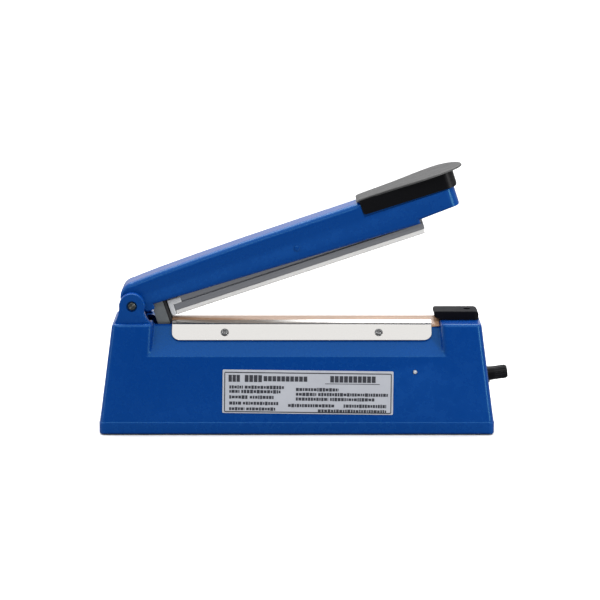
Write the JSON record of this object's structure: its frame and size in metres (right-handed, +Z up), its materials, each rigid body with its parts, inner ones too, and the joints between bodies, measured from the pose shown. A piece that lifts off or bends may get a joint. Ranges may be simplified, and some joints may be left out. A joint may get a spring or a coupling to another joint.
{
  "type": "impulse heat sealer",
  "caption": "Hand-operated impulse bag sealer: plastic base with a heated sealing jaw, timer knob, and a hinged, sprung arm carrying a rocking press bar.",
  "frame": {"origin": "on the surface the feet stand on, at the centre of the bounding box in plan", "axes": "+X along the sealing jaw from the hinge to the timer knob, +Y to the back, away from the operator, +Z up"},
  "size_m": [0.3284, 0.079, 0.2175],
  "materials": {
    "blue_plastic": "moulded plastic, soft gloss",
    "black_plastic": "moulded plastic, satin",
    "white_plastic": "moulded nylon",
    "nylon": "natural nylon",
    "polished_plate": "polished stainless sheet",
    "aluminium": "drawn aluminium, satin",
    "steel": "nickel-plated steel",
    "zinc_steel": "zinc-plated sheet",
    "laminations": "varnished laminations",
    "brass": "bright brass",
    "nichrome": "rolled ribbon",
    "ptfe_cloth": "ptfe-coated glass cloth, waxy",
    "glass_tape": "glass tape",
    "silicone": "matt silicone",
    "rubber": "matt rubber",
    "coil_wrap": "polyester tape",
    "circuit_board": "solder mask",
    "lamp_lens": "clear lens",
    "label": "silver polyester film"
  },
  "bodies": {
    "base": {"base_housing": "blue_plastic", "bottom_plate": "zinc_steel", "foot_front_left": "rubber", "foot_front_right": "rubber", "foot_rear_left": "rubber", "foot_rear_right": "rubber", "base_screw_front_left": "steel", "base_screw_front_right": "steel", "base_screw_rear_left": "steel", "base_screw_rear_right": "steel", "seal_bar": "aluminium", "insulation_strip": "glass_tape", "heating_element": "nichrome", "ptfe_cloth": "ptfe_cloth", "clamp_plate_front": "polished_plate", "clamp_plate_rear": "polished_plate", "plate_screw_front_left": "steel", "plate_screw_front_right": "steel", "plate_screw_rear_left": "steel", "plate_screw_rear_right": "steel", "terminal_left": "brass", "terminal_right": "brass", "terminal_screw": "steel", "terminal_cover": "black_plastic", "cover_screw": "steel", "hinge_pin": "steel", "hinge_clip": "steel", "hinge_washer_front": "nylon", "hinge_washer_rear": "nylon", "return_spring": "steel", "spring_bracket": "zinc_steel", "bracket_screw_left": "steel", "bracket_screw_right": "steel", "transformer_core": "laminations", "transformer_coil": "coil_wrap", "transformer_strap": "zinc_steel", "strap_screw_left": "steel", "strap_screw_right": "steel", "timer_board": "circuit_board", "timer_potentiometer": "steel", "potentiometer_nut": "brass", "indicator_lamp": "lamp_lens", "microswitch": "black_plastic", "cord_gland": "rubber", "nameplate": "label"},
    "arm": {"arm_shell": "blue_plastic", "handle_cap": "black_plastic", "handle_screw_front": "steel", "handle_screw_rear": "steel", "pivot_rivet": "blue_plastic", "lever_plate": "zinc_steel", "lever_rivet": "steel"},
    "press_bar": {"press_bar": "aluminium", "silicone_strip": "silicone", "bar_end_clip": "white_plastic"},
    "plunger": {"switch_plunger": "nylon"},
    "knob": {"timer_knob": "black_plastic"}
  },
  "joints": [
    {"name": "arm_hinge", "type": "hinge", "parent": "base", "child": "arm", "pos_m": [-0.1377, 0, 0.1027], "axis": [0, 1, 0], "range_deg": [0, 14.9], "stiffness_Nm_per_rad": 1.5, "springref_deg": -20.05, "deforming": ["return_spring"]},
    {"name": "press_bar_rock", "type": "hinge", "parent": "arm", "child": "press_bar", "pos_m": [-0.00529, 0, 0.14851], "axis": [0, 1, 0], "range_deg": [0, 3.6]},
    {"name": "switch_press", "type": "slide", "parent": "base", "child": "plunger", "axis": [0, 0, -1], "range_m": [0, 0.0012]},
    {"name": "timer_turn", "type": "hinge", "parent": "base", "child": "knob", "pos_m": [0.14807, 0, 0.042], "axis": [0.9912, 0, 0.1322], "range_deg": [0, 270]}
  ],
  "couplings": [
    {"joint": "press_bar_rock", "follows": "arm_hinge", "ratio": 0.24},
    {"joint": "switch_press", "follows": "arm_hinge", "m_per_rad": 0.0046}
  ]
}
